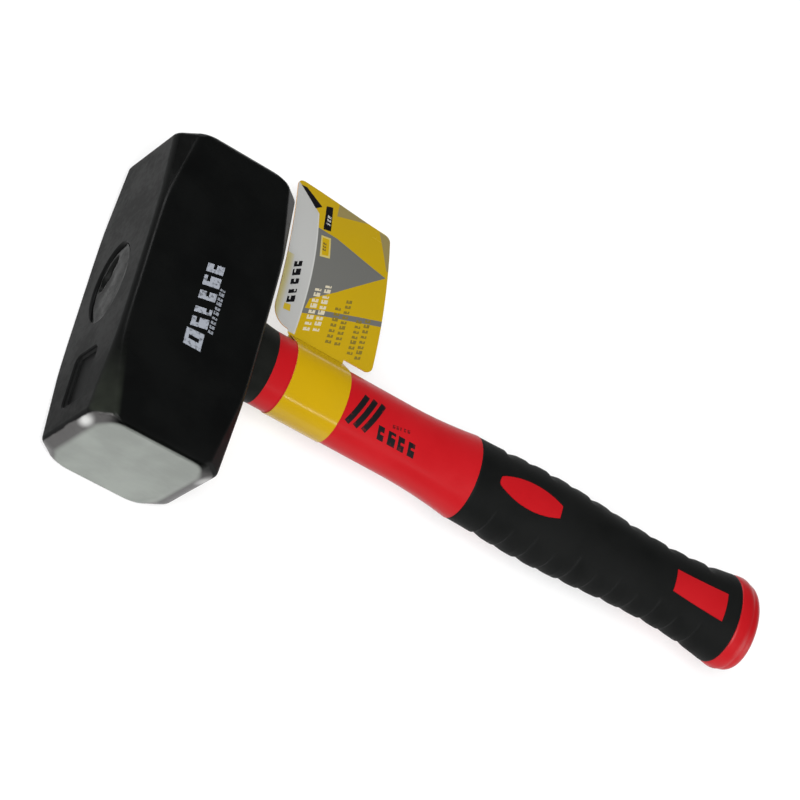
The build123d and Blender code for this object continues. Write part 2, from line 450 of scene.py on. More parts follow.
def lipProfile(radius, steps=6):
    # (depth below the surface, growth of the opening) of a rounded lip
    out = [(-1.5 * mm, radius)]
    for i in range(steps + 1):
        angle = math.radians(6 + 84 * i / steps)
        out.append((radius * (1 - math.cos(angle)), radius * (1 - math.sin(angle))))
    return out


eyeForm = {
    "mouthWide": 14.7 * mm,
    "mouthHigh": 10.3 * mm,
    "seatWide": 13.6 * mm,
    "seatHigh": 10.2 * mm,
    "lip": 1.5 * mm,
    "easeLeast": 0.04,             # the mouth is eased most along its low side and at the far end
    "easeMean": 0.3,
    "easeLow": 0.65,
    "easeFar": 0.7,
}


def eyeSize(x):
    share = (x - eyeSideX) / (headHigh.x - eyeSideX)
    wide = eyeForm["mouthWide"] + (eyeForm["seatWide"] - eyeForm["mouthWide"]) * share
    high = eyeForm["mouthHigh"] + (eyeForm["seatHigh"] - eyeForm["mouthHigh"]) * share
    return wide, high


def eyeCutter():
    form = eyeForm
    rings = []
    for depth, growth in lipProfile(form["lip"]):
        wide, high = eyeSize(eyeSideX + max(depth, 0.0))
        ring = []
        for _, y, z in ovalRing(0, 1.0, 1.0):
            low = axisZ - z
            ease = form["easeMean"] + form["easeLow"] * low + form["easeFar"] * y
            ease = min(1.0, max(form["easeLeast"], ease))
            ring.append((eyeSideX + (depth * ease if depth > 0 else depth), y * (wide + growth * ease),
                         axisZ - low * (high + growth * ease)))
        rings.append(ring)
    rings.append(ovalRing(headHigh.x + 1 * mm, form["seatWide"], form["seatHigh"]))
    return meshPiece("eyeCutter", *loft(rings), [])


pocketForm = {
    "centreY": -35.0 * mm,
    "length": 19.0 * mm,
    "height": 13.7 * mm,
    "depth": 1.7 * mm,
    "draft": 1.1 * mm,         # how much smaller the bottom is, each side
    "corner": 2.4 * mm,
    "lip": 0.7 * mm,
    "floorTurn": 0.6 * mm,     # the round between its wall and its bottom
}


def pocketRing(x, shrink):
    form = pocketForm
    corner = max(0.4 * mm, form["corner"] - shrink * 0.5)
    halfLong = form["length"] / 2 - shrink - corner
    halfHigh = form["height"] / 2 - shrink - corner
    ring = []
    for quadrant, (sideY, sideZ) in enumerate(((1, 1), (-1, 1), (-1, -1), (1, -1))):
        start = 90 * quadrant
        for y, z in arcPoints((sideY * halfLong, sideZ * halfHigh), corner, start, start + 90, 6):
            ring.append((x, form["centreY"] + y, axisZ + z))
    return ring


def pocketCutter():
    form = pocketForm
    rings = [pocketRing(eyeSideX + depth, -growth) for depth, growth in lipProfile(form["lip"])]
    for step in range(6):
        angle = math.radians(90 * step / 5)
        rings.append(pocketRing(eyeSideX + form["depth"] - form["floorTurn"] * (1 - math.sin(angle)),
                                form["draft"] + form["floorTurn"] * (1 - math.cos(angle))))
    return meshPiece("pocketCutter", *loft(rings), [])


headLook = {
    "lacquer": (0.0028, 0.003, 0.003, 1),
    "palerLacquer": (0.0042, 0.0045, 0.0044, 1),
    # painted sheen colour for the chamfers
    "sheenLacquer": (0.018, 0.0205, 0.016, 1),
    "ink": (0.29, 0.31, 0.35, 1),
    "steel": (0.285, 0.304, 0.282, 1),
    # painted shade: the bevel round each face is bare steel coloured darker than the face
    "shadedBevelSteel": (0.098, 0.095, 0.094, 1),
    # painted highlight colour for the bevel corners
    "highlightSteel": (0.62, 0.62, 0.61, 1),
    # painted shade colour for the upper bevel
    "shadeBlack": (0.006, 0.0065, 0.006, 1),
    "paintEnd": 1.65 * mm,         # the paint starts to break up this far from the face
    "bareStart": 1.15 * mm,
    "wander": 1.6 * mm,
    "highlightX": 21.4 * mm,             # painted highlight on the corner of each turned edge
    "highlightZ": 31.5 * mm,
    "highlightWide": 2.6 * mm,
    "highlightHigh": 5.0 * mm,
    "shadeWidth": 19 * mm,         # painted shade: the upper bevel is darkened this far across
    "shadeStart": 36 * mm,
    "panelHalf": 10.5 * mm,        # the duller paint in the stamped panel
    "panelHigh": 7.2 * mm,
}


def bareMask(tree, point, y, z):
    # where the grinding stopped: later on the upper cheek and at the far end
    look = headLook
    reach = calc(tree, "MULTIPLY_ADD", noise(tree, point, 110.0, 4.0), look["wander"],
                 calc(tree, "ABSOLUTE", y))
    lift = ramp(tree, z, headHigh.z - 1.0 * mm, headHigh.z - 0.2 * mm, 0.0, 0.9 * mm)
    lift = calc(tree, "ADD", lift, ramp(tree, y, 0.0, 1 * mm, 0.0, 1.0 * mm))
    return ramp(tree, calc(tree, "SUBTRACT", reach, lift), faceY - look["paintEnd"],
                faceY - look["bareStart"])


def cheekPrint(tree, point, x, y, z):
    # the mark runs along the head: a badge, a heavy line of blocks and a light one
    def shape(*corners):
        return insidePolygon(tree, x, y, [(px * mm, py * mm) for px, py in corners], 0.12 * mm)

    heavy = rowMask(tree, x, y, (3.7 * mm, -11.6 * mm), (0, 25.4 * mm), (-6.0 * mm, 0), 5.0, 0.05, 3.0)
    light = rowMask(tree, x, y, (6.0 * mm, -12.0 * mm), (0, 17.5 * mm), (-1.8 * mm, 0), 10.0, 0.0, 9.0)
    badge = shape((3.6, -19.4), (3.4, -13.2), (-3.0, -13.6), (-2.8, -19.4))
    hollow = shape((2.2, -17.0), (2.2, -15.6), (-1.6, -15.6), (-1.6, -17.0))
    badge = calc(tree, "SUBTRACT", badge, hollow, clamp=True)
    printed = fold(tree, "MAXIMUM", heavy, badge, calc(tree, "MULTIPLY", light, 0.7))
    flecks = ramp(tree, noise(tree, point, 900.0), 0.3, 0.5, 0.35, 0.9)
    return fold(tree, "MULTIPLY", printed, flecks, calc(tree, "GREATER_THAN", z, headHigh.z - 0.1 * mm))


def groundSteel(tree, x, y, z, lines, mottle):
    look = headLook
    # the bevel round the face takes the darker steel: painted shade
    turned = ramp(tree, calc(tree, "ABSOLUTE", y), faceY - 0.75 * mm, faceY - 0.12 * mm, 1.0, 0.0)
    # a painted highlight on the corner of the turned edge
    highlightX = calc(tree, "SUBTRACT", calc(tree, "ABSOLUTE", x), look["highlightX"])
    highlightX = calc(tree, "MULTIPLY", highlightX, 1 / look["highlightWide"])
    highlightZ = calc(tree, "MULTIPLY", calc(tree, "SUBTRACT", z, look["highlightZ"]), 1 / look["highlightHigh"])
    away = calc(tree, "ADD", calc(tree, "MULTIPLY", highlightX, highlightX), calc(tree, "MULTIPLY", highlightZ, highlightZ))
    away = calc(tree, "MULTIPLY_ADD", mottle, 0.6, calc(tree, "SQRT", away))
    edge = blendColour(tree, ramp(tree, away, 0.4, 1.4, 1.0, 0.0), look["shadedBevelSteel"], look["highlightSteel"])
    # painted shade: the bevel darker towards the +X side
    edge = shadeColour(tree, edge, ramp(tree, calc(tree, "MULTIPLY", x, -1.0), 0.0, 18 * mm, 0.62, 1.0))
    # painted shade: the upper bevel turned nearly black
    black = calc(tree, "MULTIPLY", ramp(tree, z, look["shadeStart"], look["shadeStart"] + 3.5 * mm),
                 ramp(tree, x, -look["shadeWidth"], 5 * mm - look["shadeWidth"]))
    edge = blendColour(tree, black, edge, look["shadeBlack"])
    colour = blendColour(tree, turned, look["steel"], edge)
    level = calc(tree, "MULTIPLY_ADD", lines, 0.2, ramp(tree, mottle, 0.3, 0.7, 0.8, 1.0))
    rough = calc(tree, "SUBTRACT", ramp(tree, lines, 0.3, 0.7, 0.34, 0.5),
                 calc(tree, "MULTIPLY", turned, 0.08))
    return shadeColour(tree, colour, level), rough


def paintedFacetSheen(tree, point, x, y, z):
    # painted sheen: lighter lacquer along the chamfers, towards the near end of the eye side
    form = headForm
    inX = calc(tree, "SUBTRACT", headHigh.x, calc(tree, "ABSOLUTE", x))
    inX = calc(tree, "MULTIPLY", inX, 1 / form["chamferWide"])
    inZ = calc(tree, "MULTIPLY", calc(tree, "SUBTRACT", headHigh.z, z), 1 / form["chamferHigh"])
    along = calc(tree, "SUBTRACT", calc(tree, "ABSOLUTE", y), form["chamferStart"])
    along = calc(tree, "MULTIPLY", along, 1 / (faceY - form["bevelDepth"] - form["chamferStart"]))
    off = calc(tree, "SUBTRACT", calc(tree, "ADD", inX, inZ), along)
    return fold(tree, "MULTIPLY", ramp(tree, off, 0.02, 0.3, 1.0, 0.0), ramp(tree, along, 0.3, 1.0),
                ramp(tree, noise(tree, point, 150.0, 3.0), 0.25, 0.75, 0.5, 1.0),
                ramp(tree, y, -12 * mm, -24 * mm), ramp(tree, x, 4 * mm, -4 * mm))


def lacquerRoughness(tree, x, y, z, gloss, rubs):
    # duller towards the near end, on the two sides and down in the stamped panel
    look = headLook
    flank = ramp(tree, calc(tree, "ABSOLUTE", x), headHigh.x - 1.4 * mm, headHigh.x - 0.5 * mm, 0.0, 0.2)
    rough = fold(tree, "ADD", ramp(tree, gloss, 0.0, 1.0, 0.2, 0.3), calc(tree, "MULTIPLY", rubs, 0.2),
                 ramp(tree, y, -10 * mm, -50 * mm, 0.0, 0.1), flank)
    offAxis = calc(tree, "ABSOLUTE", calc(tree, "SUBTRACT", z, axisZ))
    panel = fold(tree, "MULTIPLY", ramp(tree, x, eyeSideX + 0.3 * mm, eyeSideX + 1.2 * mm),
                 calc(tree, "LESS_THAN", y, pocketForm["centreY"] + look["panelHalf"]),
                 calc(tree, "LESS_THAN", x, eyeSideX + 2.2 * mm),
                 calc(tree, "LESS_THAN", offAxis, look["panelHigh"]))
    return blendValue(tree, panel, rough, 0.52)


def headMaterial():
    # black lacquer, ground bare on the two striking faces, with a pale printed mark on the upper cheek
    look = headLook
    material, tree, shader = newMaterial("lacqueredHead", look["lacquer"], 0.3, Specular_IOR_Level=0.045)
    point = objectPoint(tree)
    x, y, z = splitPoint(tree, point)
    bare = bareMask(tree, point, y, z)
    # the grinding leaves fine parallel lines and a slow mottling
    stretched = addNode(tree, "ShaderNodeMapping", {"Vector": point, "Scale": (1.0, 1.0, 30.0),
                                                    "Rotation": (0.0, 0.25, 0.0)}).outputs[0]
    lines = noise(tree, stretched, 160.0, 6.0, 0.75)
    steel, steelRough = groundSteel(tree, x, y, z, lines, noise(tree, point, 70.0, 3.0))
    grain = useGroup(tree, mouldGrain, Point=point, Grain=500.0, Patch=45.0)
    rubs = useGroup(tree, handling, Point=point, Scale=70.0, Amount=0.5).outputs["Mask"]
    paint = blendColour(tree, grain.outputs["Shade"], look["lacquer"], look["palerLacquer"])
    # painted sheen on the chamfers
    paint = blendColour(tree, paintedFacetSheen(tree, point, x, y, z), paint, look["sheenLacquer"])
    paint = blendColour(tree, cheekPrint(tree, point, x, y, z), paint, look["ink"])
    plug(tree, shader.inputs["Base Color"], blendColour(tree, bare, paint, steel))
    plug(tree, shader.inputs["Metallic"], bare)
    paintRough = lacquerRoughness(tree, x, y, z, grain.outputs["Gloss"], rubs)
    plug(tree, shader.inputs["Roughness"], blendValue(tree, bare, paintRough, steelRough))
    # lacquer over forging scale is a little uneven, and stands proud of the ground steel
    height = calc(tree, "MULTIPLY_ADD", grain.outputs["Height"], 0.012, noise(tree, point, 32.0))
    height = blendValue(tree, bare, height, calc(tree, "MULTIPLY", lines, 0.1))
    bump(tree, shader, height, 0.35, 0.1 * mm)
    return material


def makeHead():
    end = [headSection(*station) for station in headStations()]
    start = [[(x, -y, z) for x, y, z in ring] for ring in reversed(end[1:])]
    piece = meshPiece("forgedHead", *loft(start + end), [headMaterial()])
    cutWith(piece, [eyeCutter(), pocketCutter()])
    dropSlivers(piece.data)
    evenShading(piece, 38)
    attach(piece, "root")
    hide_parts("head")


makeHead()
print("head made")


fillForm = {
    "clearance": 0.05 * mm,
    "rise": 0.55 * mm,             # depth of the fill below the side of the head
    "flush": 0.08 * mm,            # and where it is nearly flush, towards the upper cheek
    "least": 0.04 * mm,
    "creep": 0.3 * mm,             # how far it climbs the wall of the eye
    "creepShare": 0.07,
    "gap": 1.5 * mm,               # the shallow gap along the low side
    "gapShare": 0.16,
    "pit": 2.6 * mm,
    "pitY": 5.4 * mm,
    "pitZ": -4.0 * mm,
    "pitLong": 6.0 * mm,
    "pitShort": 2.5 * mm,
    "pitTurn": 33.0,
    "tip": 3.4 * mm,               # how deep the handle's own end lies
    "tipCover": 0.25 * mm,
    "wave": 0.1 * mm,
    "ripple": 0.07 * mm,
    "handleWide": 12.7 * mm,
    "handleHigh": 9.2 * mm,
    "rings": 34,
}


def eased(share):
    share = min(1.0, max(0.0, share))
    return share * share * (3 - 2 * share)


def fillDepth(y, z):
    # nearly flush towards the upper cheek, a shallow gap along the low side, one deep pit
    form = fillForm
    wide, high = eyeSize(eyeSideX)
    inward = 1 - math.hypot(y / wide, z / high)
    low = min(1.0, max(0.0, 0.25 - z / high + 0.6 * y / wide))
    gap = low * (1 - min(1.0, inward / form["gapShare"])) ** 2
    turn = math.radians(form["pitTurn"])
    pitY, pitZ = y - form["pitY"], z - form["pitZ"]
    across = math.hypot((pitY * math.cos(turn) + pitZ * math.sin(turn)) / form["pitLong"],
                        (pitZ * math.cos(turn) - pitY * math.sin(turn)) / form["pitShort"])
    pit = eased((1.15 - across) / 0.4)
    wave = form["wave"] * math.sin(y * 520 + 1.3) * math.cos(z * 610)
    wave += form["ripple"] * math.sin(y * 990 + z * 870)
    side = min(1.0, max(0.0, (z / high + 0.35) / 0.9))
    rise = form["rise"] + (form["flush"] - form["rise"]) * eased(side)
    depth = rise + form["gap"] * gap + form["pit"] * pit + wave * (1 - 0.6 * side)
    return min(form["tip"] - form["tipCover"], depth)


def resinMaterial():
    material, tree, shader = newMaterial("castResin", (0.004, 0.0043, 0.004, 1), 0.3,
                                         Specular_IOR_Level=0.05)
    point = objectPoint(tree)
    grain = useGroup(tree, mouldGrain, Point=point, Grain=900.0, Patch=160.0)
    rubs = useGroup(tree, handling, Point=point, Scale=150.0, Amount=0.4).outputs["Mask"]
    plug(tree, shader.inputs["Base Color"], blendColour(tree, grain.outputs["Shade"],
         (0.003, 0.0035, 0.0032, 1), (0.0065, 0.0068, 0.0062, 1)))
    plug(tree, shader.inputs["Roughness"], calc(tree, "MULTIPLY_ADD", rubs, 0.3,
         ramp(tree, grain.outputs["Gloss"], 0.0, 1.0, 0.3, 0.44)))
    bump(tree, shader, noise(tree, point, 260.0), 0.4, 0.1 * mm)
    return material


def makeEyeFill():
    form = fillForm
    gap = form["clearance"]
    mouthWide, mouthHigh = eyeSize(eyeSideX + form["rise"])
    rings = []
    for number in range(1, form["rings"] + 1):
        share = number / form["rings"]
        climb = (max(0.0, share - 1 + form["creepShare"]) / form["creepShare"]) ** 2
        ring = []
        for _, y, z in ovalRing(0, (mouthWide - gap) * share, (mouthHigh - gap) * share):
            depth = fillDepth(y, z - axisZ) - form["creep"] * climb
            ring.append((eyeSideX + max(depth, form["least"]), y, z))
        rings.append(ring)
    # down the wall of the eye, and back round the handle's end
    tipX = eyeSideX + form["tip"]
    wide, high = eyeSize(tipX)
    rings += [ovalRing(tipX, wide - gap, high - gap),
              ovalRing(headHigh.x, eyeForm["seatWide"] - gap, eyeForm["seatHigh"] - gap),
              ovalRing(headHigh.x, form["handleWide"], form["handleHigh"]),
              ovalRing(tipX, form["handleWide"], form["handleHigh"])]
    piece = meshPiece("eyeFill", *loft(rings), [resinMaterial()])
    evenShading(piece, 45)
    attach(piece, "root")
    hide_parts("eye_resin")


makeEyeFill()
print("eye filled")


redLook = {
    "colour": (0.415, 0.0075, 0.0115, 1),
    "deep": (0.385, 0.0065, 0.010, 1),
    "ink": (0.006, 0.006, 0.007, 1),
}


def redPlastic(name, printed):
    material, tree, shader = newMaterial(name, redLook["colour"], 0.36, Specular_IOR_Level=0.16)
    point = objectPoint(tree)
    grain = useGroup(tree, mouldGrain, Point=point, Grain=1500.0, Patch=40.0)
    rubs = useGroup(tree, handling, Point=point, Scale=80.0, Amount=0.6).outputs["Mask"]
    colour = blendColour(tree, grain.outputs["Shade"], redLook["deep"], redLook["colour"])
    rough = calc(tree, "MULTIPLY_ADD", rubs, 0.15, ramp(tree, grain.outputs["Gloss"], 0.0, 1.0, 0.3, 0.42))
    if printed:
        mask = handleMark(tree, point)
        colour = blendColour(tree, mask, colour, redLook["ink"])
        rough = blendValue(tree, mask, rough, 0.45)
    plug(tree, shader.inputs["Base Color"], colour)
    plug(tree, shader.inputs["Roughness"], rough)
    bump(tree, shader, grain.outputs["Height"], 0.25, 0.03 * mm)
    return material


markForm = {
    "first": 65.4,                 # the first bar, in mm along the handle
    "step": 3.3,
    "lean": 4.4,
    "low": -8.2,
    "high": 3.4,
    "width": 2.1,
    "count": 3,
}


def handleMark(tree, point):
    # three even slanted bars and a short row of blocks, wrapped round the neck
    form = markForm
    x, y, z = splitPoint(tree, point)
    around = calc(tree, "ARCTAN2", calc(tree, "MULTIPLY", y, 1 / 13.5),
                  calc(tree, "MULTIPLY", calc(tree, "SUBTRACT", z, axisZ), 1 / 10.0))
    v = calc(tree, "MULTIPLY", around, 13.0 * mm)
    length = math.hypot(form["lean"], form["high"] - form["low"])
    sideX = (form["low"] - form["high"]) / length * form["width"] / 2
    sideV = form["lean"] / length * form["width"] / 2
    masks = []
    for i in range(form["count"]):
        startX = form["first"] + form["step"] * i
        endX = startX + form["lean"]
        corners = [(startX + sideX, form["low"] + sideV), (startX - sideX, form["low"] - sideV),
                   (endX - sideX, form["high"] - sideV), (endX + sideX, form["high"] + sideV)]
        masks.append(insidePolygon(tree, x, v, [(px * mm, py * mm) for px, py in corners], 0.08 * mm))
    masks.append(rowMask(tree, x, v, (77.2 * mm, -8.4 * mm), (16.4 * mm, 0.4 * mm), (0, 4.6 * mm),
                         4.0, 0.06, 5.0))
    thin = rowMask(tree, x, v, (81.4 * mm, -2.6 * mm), (7.0 * mm, 1.6 * mm), (-0.2 * mm, 1.2 * mm),
                   5.0, 0.0, 2.0)
    masks.append(calc(tree, "MULTIPLY", thin, 0.7))
    worn = ramp(tree, noise(tree, point, 700.0), 0.28, 0.4, 0.75, 1.0)
    return fold(tree, "MULTIPLY", fold(tree, "MAXIMUM", *masks), worn, calc(tree, "GREATER_THAN", z, axisZ))


def dress(name, material):
    # a CAD node keeps its shape and gets its finish
    node = nodes[name]
    node.data.materials.clear()
    node.data.materials.append(material)


dress("handle_jacket", redPlastic("redJacket", True))
print("red mouldings dressed")


def guardMaterial():
    material, tree, shader = newMaterial("collarPlastic", (0.008, 0.0085, 0.008, 1), 0.45,
                                         Specular_IOR_Level=0.08)
    point = objectPoint(tree)
    grain = useGroup(tree, mouldGrain, Point=point, Grain=1900.0, Patch=90.0)
    plug(tree, shader.inputs["Base Color"], blendColour(tree, grain.outputs["Shade"],
         (0.0055, 0.0062, 0.0052, 1), (0.0085, 0.009, 0.0078, 1)))
    plug(tree, shader.inputs["Roughness"], ramp(tree, grain.outputs["Gloss"], 0.0, 1.0, 0.38, 0.52))
    bump(tree, shader, grain.outputs["Height"], 0.4, 0.05 * mm)
    return material


def rodMaterial():
    material, tree, shader = newMaterial("fibreglassRod", (0.62, 0.55, 0.3, 1), 0.5)
    point = objectPoint(tree)
    place = addNode(tree, "ShaderNodeMapping", {"Vector": point, "Scale": (0.03, 1.0, 1.0)})
    strands = noise(tree, place.outputs[0], 1800.0, 4.0)
    grain = useGroup(tree, mouldGrain, Point=point, Grain=1200.0, Patch=80.0)
    colour = blendColour(tree, strands, (0.5, 0.42, 0.2, 1), (0.75, 0.7, 0.45, 1))
    plug(tree, shader.inputs["Base Color"], colour)
    plug(tree, shader.inputs["Roughness"], ramp(tree, grain.outputs["Gloss"], 0.0, 1.0, 0.4, 0.6))
    bump(tree, shader, strands, 0.5, 0.08 * mm)
    return material


dress("neck_guard", guardMaterial())
dress("core_rod", rodMaterial())
print("collar and rod dressed")


gripForm = {
    "Start": gripLow.x,
    "End": gripHigh.x,
    "Axis height": axisZ,
    "Front half width": 15.5 * mm,
    "Belly half width": 16.6 * mm,
    "Belly distance": 31.2 * mm,
    "Waist half width": 14.5 * mm,
    "Waist distance": 30.3 * mm,
    "Rear half width": 17.2 * mm,
    "Height ratio": 0.757,
    "Flute front": 12.0 * mm,
    "Flute rear": 12.5 * mm,
    "Flute count": 11,
    "Flute depth": 1.0 * mm,
    "Flute length": 5.6 * mm,
    "Step length": 1.3 * mm,
    "Long tip": math.radians(52),
    "Short tip": math.radians(40),
    "Lip depth": 0.3 * mm,
    "Lip length": 1.1 * mm,
    "Bore half width": 12.25 * mm,
    "Bore half height": 8.65 * mm,
    "Segments along": 300,
    "Segments around": 160,
}


def gripTree(material):
    tree = bpy.data.node_groups.new("gripSkin", "GeometryNodeTree")
    for name, value in gripForm.items():
        kind = "NodeSocketInt" if isinstance(value, int) else "NodeSocketFloat"
        tree.interface.new_socket(name=name, in_out="INPUT", socket_type=kind).default_value = value
    tree.interface.new_socket(name="Geometry", in_out="OUTPUT", socket_type="NodeSocketGeometry")
    size = tree.nodes.new("NodeGroupInput").outputs

    def c(operation, *values, clamp=False):
        return calc(tree, operation, *values, clamp=clamp)

    # a sheet whose long side runs along the outside and back through the bore
    along = size["Segments along"]
    sheet = addNode(tree, "GeometryNodeMeshGrid", {
        "Size X": c("ADD", along, 3.0), "Size Y": 1.0,
        "Vertices X": c("ADD", along, 4.0), "Vertices Y": c("ADD", size["Segments around"], 1.0)})
    place = splitPoint(tree, addNode(tree, "GeometryNodeInputPosition").outputs[0])
    index = c("ROUND", c("ADD", place[0], c("MULTIPLY", c("ADD", along, 3.0), 0.5)))
    share = c("MULTIPLY", c("DIVIDE", index, along, clamp=True), c("LESS_THAN", index, c("ADD", along, 1.5)))
    bore = c("MULTIPLY", c("GREATER_THAN", index, c("ADD", along, 0.5)),
             c("LESS_THAN", index, c("ADD", along, 2.5)))
    length = c("SUBTRACT", size["End"], size["Start"])
    x = c("MULTIPLY_ADD", share, length, size["Start"])
    turn = c("MULTIPLY", c("ADD", place[1], 0.5), 2 * math.pi)
    # belly, waist and flare
    bellyX = c("ADD", size["Start"], size["Belly distance"])
    waistX = c("SUBTRACT", size["End"], size["Waist distance"])

    def swell(start, end, low, high):
        part = c("DIVIDE", c("SUBTRACT", x, start), c("SUBTRACT", end, start), clamp=True)
        wave = c("SUBTRACT", 0.5, c("MULTIPLY", c("COSINE", c("MULTIPLY", part, math.pi)), 0.5))
        return c("MULTIPLY", c("SUBTRACT", high, low), wave)

    flare = c("DIVIDE", c("SUBTRACT", x, waistX), size["Waist distance"], clamp=True)
    wide = c("ADD", size["Front half width"],
             swell(size["Start"], bellyX, size["Front half width"], size["Belly half width"]))
    wide = c("ADD", wide, swell(bellyX, waistX, size["Belly half width"], size["Waist half width"]))
    wide = c("ADD", wide, c("MULTIPLY", c("POWER", flare, 2.0),
                            c("SUBTRACT", size["Rear half width"], size["Waist half width"])))
    # flutes across both flanks, long and short by turns, steep at the front and easy at the back
    firstX = c("ADD", size["Start"], size["Flute front"])
    last = c("SUBTRACT", size["Flute count"], 1.0)
    pitch = c("DIVIDE", c("SUBTRACT", length, c("ADD", size["Flute front"], size["Flute rear"])), last)
    number = c("DIVIDE", c("SUBTRACT", x, firstX), pitch)
    number = c("ROUND", c("MINIMUM", c("MAXIMUM", number, 0.0), last))
    away = c("SUBTRACT", x, c("MULTIPLY_ADD", number, pitch, firstX))
    flank = c("ARCSINE", c("ABSOLUTE", c("SINE", turn)))
    tip = blendValue(tree, c("MODULO", number, 2.0), size["Long tip"], size["Short tip"])
    taper = c("SUBTRACT", 1.0, c("POWER", c("DIVIDE", flank, tip, clamp=True), 2.0))
    behind = c("DIVIDE", away, c("MULTIPLY", size["Flute length"], c("MULTIPLY_ADD", taper, 0.5, 0.5)))
    before = c("DIVIDE", away, c("MULTIPLY", size["Step length"], -1.0))
    near = c("MAXIMUM", behind, before, clamp=True)
    groove = c("MULTIPLY", ramp(tree, near, 0.0, 1.0, 1.0, 0.0), taper)
    sink = c("MULTIPLY", groove, size["Flute depth"])
    # both ends turn in a little
    ends = c("MINIMUM", c("SUBTRACT", x, size["Start"]), c("SUBTRACT", size["End"], x))
    roll = c("SUBTRACT", 1.0, c("DIVIDE", ends, size["Lip length"], clamp=True))
    sink = c("ADD", sink, c("MULTIPLY", c("POWER", roll, 2.0), size["Lip depth"]))
    outsideWide = c("SUBTRACT", wide, sink)
    outsideHigh = c("SUBTRACT", c("MULTIPLY", wide, size["Height ratio"]), sink)
    y = c("MULTIPLY", blendValue(tree, bore, outsideWide, size["Bore half width"]), c("COSINE", turn))
    z = c("MULTIPLY", blendValue(tree, bore, outsideHigh, size["Bore half height"]), c("SINE", turn))
    z = c("ADD", z, size["Axis height"])
    point = addNode(tree, "ShaderNodeCombineXYZ", {0: x, 1: y, 2: z}).outputs[0]
    shape = addNode(tree, "GeometryNodeSetPosition", {"Geometry": sheet.outputs["Mesh"], "Position": point})
    shape = addNode(tree, "GeometryNodeMergeByDistance", {"Geometry": shape.outputs[0],
                                                          "Distance": 0.004 * mm})
    shape = addNode(tree, "GeometryNodeSetShadeSmooth", {"Geometry": shape.outputs[0]})
    shape = addNode(tree, "GeometryNodeRealizeInstances", {"Geometry": shape.outputs[0]})
    shape = addNode(tree, "GeometryNodeSetMaterial", {"Geometry": shape.outputs[0], "Material": material})
    tree.links.new(shape.outputs[0], tree.nodes.new("NodeGroupOutput").inputs[0])
    return tree


landForm = {
    "clearance": 0.12 * mm,
    "proud": 0.06 * mm,
    "thumbStart": 9.1 * mm,        # from the front of the grip
    "thumbLength": 25.0 * mm,
    "thumbHalf": 4.8 * mm,
    "thumbFront": 1.7 * mm,
    "thumbRear": 2.3 * mm,
    "thumbShift": -1.1 * mm,
    "palmMargin": 6.3 * mm,        # from the rear of the grip
    "palmLength": 22.0 * mm,
    "palmFrontHigh": 2.7 * mm,
    "palmFrontLow": -5.5 * mm,
    "palmRearHigh": 3.0 * mm,
    "palmRearLow": -7.4 * mm,
    "root": 8.9 * mm,              # the pads run from this far off the axis
    "top": 20.0 * mm,
    "rings": 48,
}


def gripHalfWidth(x):
    form = gripForm
    bellyX = form["Start"] + form["Belly distance"]
    waistX = form["End"] - form["Waist distance"]
    if x > waistX:
        flare = ((x - waistX) / form["Waist distance"]) ** 2
        return form["Waist half width"] + (form["Rear half width"] - form["Waist half width"]) * flare
    if x < bellyX:
        start, end, low, high = form["Start"], bellyX, form["Front half width"], form["Belly half width"]
    else:
        start, end, low, high = bellyX, waistX, form["Belly half width"], form["Waist half width"]
    return low + (high - low) * (0.5 - 0.5 * math.cos(math.pi * (x - start) / (end - start)))


def bowed(start, side, end, steps=18):
    # points on the arc through three points
    (ax, ay), (bx, by), (cx, cy) = start, side, end
    area = 2 * (ax * (by - cy) + bx * (cy - ay) + cx * (ay - by))
    sizes = [px * px + py * py for px, py in (start, side, end)]
    centreX = (sizes[0] * (by - cy) + sizes[1] * (cy - ay) + sizes[2] * (ay - by)) / area
    centreY = (sizes[0] * (cx - bx) + sizes[1] * (ax - cx) + sizes[2] * (bx - ax)) / area
    first = math.degrees(math.atan2(ay - centreY, ax - centreX))
    last = math.degrees(math.atan2(cy - centreY, cx - centreX))
    return arcPoints((centreX, centreY), math.hypot(ax - centreX, ay - centreY), first, last, steps)


def thumbOutline(margin):
    form = landForm
    start = gripLow.x + form["thumbStart"] - margin
    end = start + form["thumbLength"] + 2 * margin
    front, rear = form["thumbFront"] + margin, form["thumbRear"] + margin
    upper = bowed((start, front), ((start + end) / 2, form["thumbHalf"] + margin), (end, rear))
    nose = [(start - front * 0.35 * math.cos(a), front * math.sin(a)) for a in (-1.0, -0.5, 0.0, 0.5, 1.0)]
    outline = nose + upper + [(x, -y) for x, y in reversed(upper)]
    return [(x, y + form["thumbShift"]) for x, y in outline]


def palmOutline(margin):
    form = landForm
    end = gripHigh.x - form["palmMargin"] + margin
    start = end - form["palmLength"] - 2 * margin
    return [(start, form["palmFrontHigh"] + margin), (end, form["palmRearHigh"] + margin),
            (end, form["palmRearLow"] - margin), (start, form["palmFrontLow"] - margin)]


def landPrisms(margin):
    prisms = []
    for makeOutline in (thumbOutline, palmOutline):
        for side in (-1, 1):
            low, high = (axisZ + side * landForm[key] for key in ("root", "top"))
            rings = [[(x, y, z) for x, y in makeOutline(margin)] for z in (low, high)]
            prisms.append(meshPiece("landPrism", *loft(rings), []))
    return prisms


def makeLands():
    # red pads standing a hair proud in the windows of the grip
    material = redPlastic("redPads", False)
    form = landForm
    for number, pad in enumerate(landPrisms(0.0)):
        pad.name = "gripPad%d" % (number + 1)
        rings = []
        for i in range(form["rings"] + 1):
            x = gripForm["Start"] + (gripForm["End"] - gripForm["Start"]) * i / form["rings"]
            half = gripHalfWidth(x)
            high = half * gripForm["Height ratio"]
            rings.append(ovalRing(x, half + form["proud"], high + form["proud"], 160))
        cutWith(pad, [meshPiece("gripBody", *loft(rings), [])], "INTERSECT")
        coverWith(pad, material)
        evenShading(pad, 60)
        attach(pad, "root")


